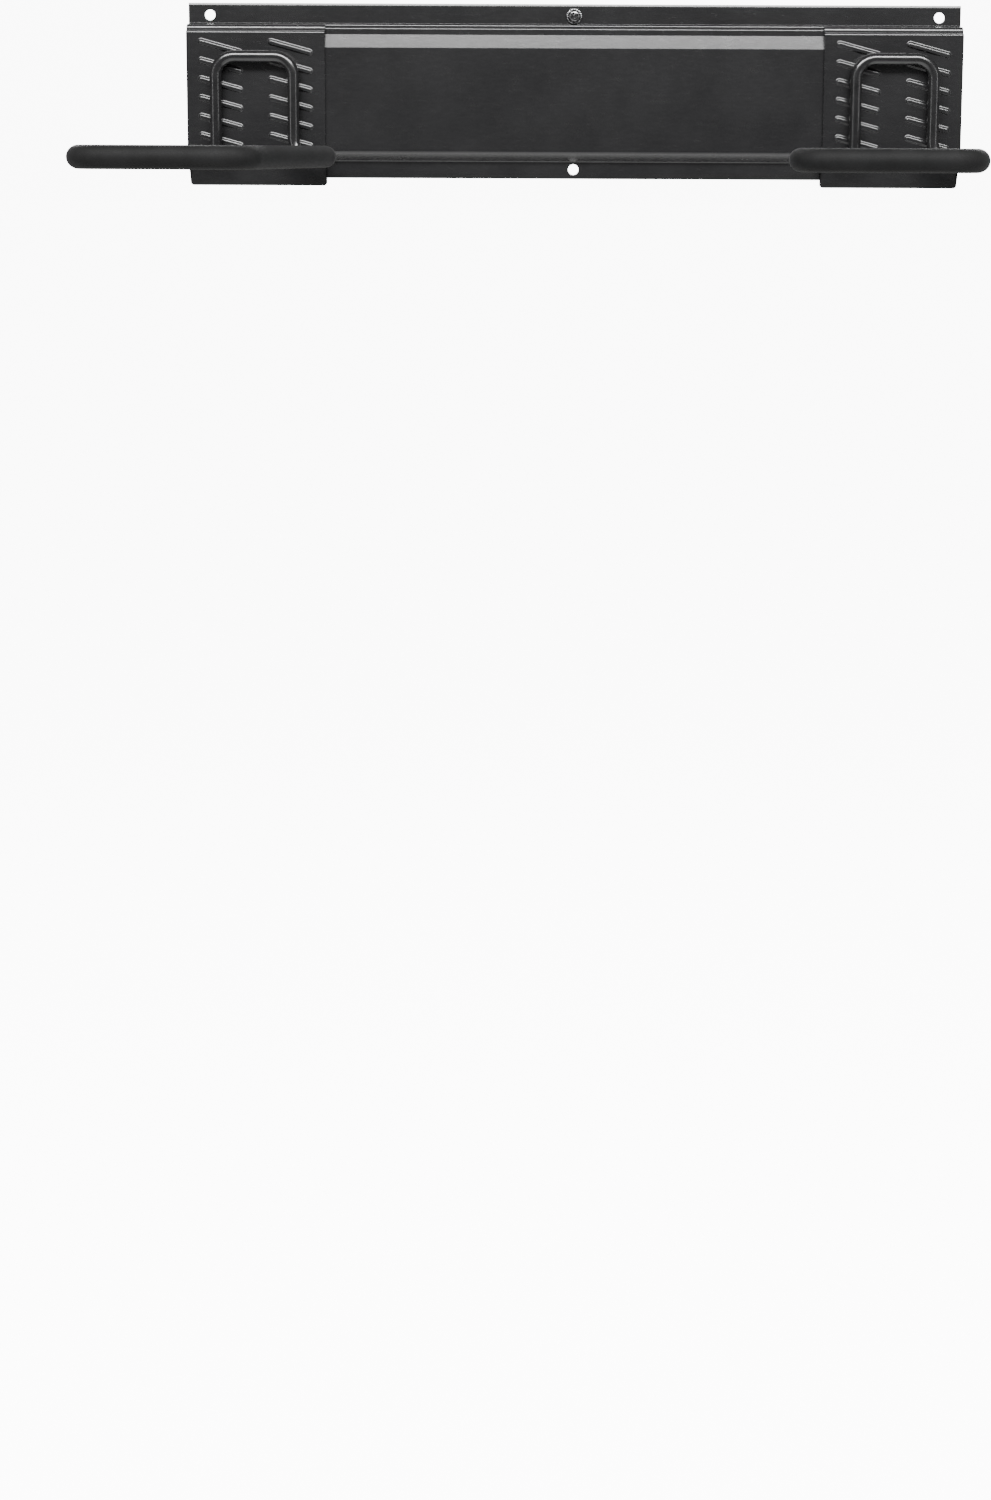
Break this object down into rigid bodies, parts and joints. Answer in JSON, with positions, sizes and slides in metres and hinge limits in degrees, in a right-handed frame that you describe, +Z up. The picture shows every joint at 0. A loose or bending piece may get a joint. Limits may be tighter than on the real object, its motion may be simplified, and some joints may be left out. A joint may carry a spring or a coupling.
{
  "type": "bicycle wall rack",
  "caption": "Formed steel rail for a wall, with sliding plates that carry foam-covered rod hooks for holding bicycles.",
  "frame": {"origin": "on the wall plane, at the middle of the rail's length and height", "axes": "+X along the rail, +Y into the wall, +Z up; the hooks reach out along -Y"},
  "size_m": [0.7165, 0.2552, 0.1535],
  "materials": {
    "black_powder_coat": "satin powder coat",
    "screw_steel": "plain zinc",
    "black_foam": "matte closed-cell foam",
    "black_plastic": "matte"
  },
  "bodies": {
    "rail": {"rail": "black_powder_coat", "mounting_screw": "screw_steel"},
    "left_hook": {"left_hook_plate": "black_powder_coat", "left_hook_rod": "black_powder_coat", "left_foam_sleeve": "black_foam", "left_end_cap": "black_plastic", "left_weld_bar_lower": "black_powder_coat", "left_weld_bar_upper": "black_powder_coat", "left_weld_left_leg_outer": "black_powder_coat", "left_weld_left_leg_inner": "black_powder_coat", "left_weld_right_leg_outer": "black_powder_coat", "left_weld_right_leg_inner": "black_powder_coat"},
    "right_hook": {"right_hook_plate": "black_powder_coat", "right_hook_rod": "black_powder_coat", "right_foam_sleeve": "black_foam", "right_end_cap": "black_plastic", "right_weld_bar_lower": "black_powder_coat", "right_weld_bar_upper": "black_powder_coat", "right_weld_left_leg_outer": "black_powder_coat", "right_weld_left_leg_inner": "black_powder_coat", "right_weld_right_leg_outer": "black_powder_coat", "right_weld_right_leg_inner": "black_powder_coat"}
  },
  "joints": [
    {"name": "left_hook_slide", "type": "slide", "parent": "rail", "child": "left_hook", "axis": [1, 0, 0], "range_m": [0, 0.17]},
    {"name": "right_hook_slide", "type": "slide", "parent": "rail", "child": "right_hook", "axis": [1, 0, 0], "range_m": [-0.17, 0]}
  ]
}
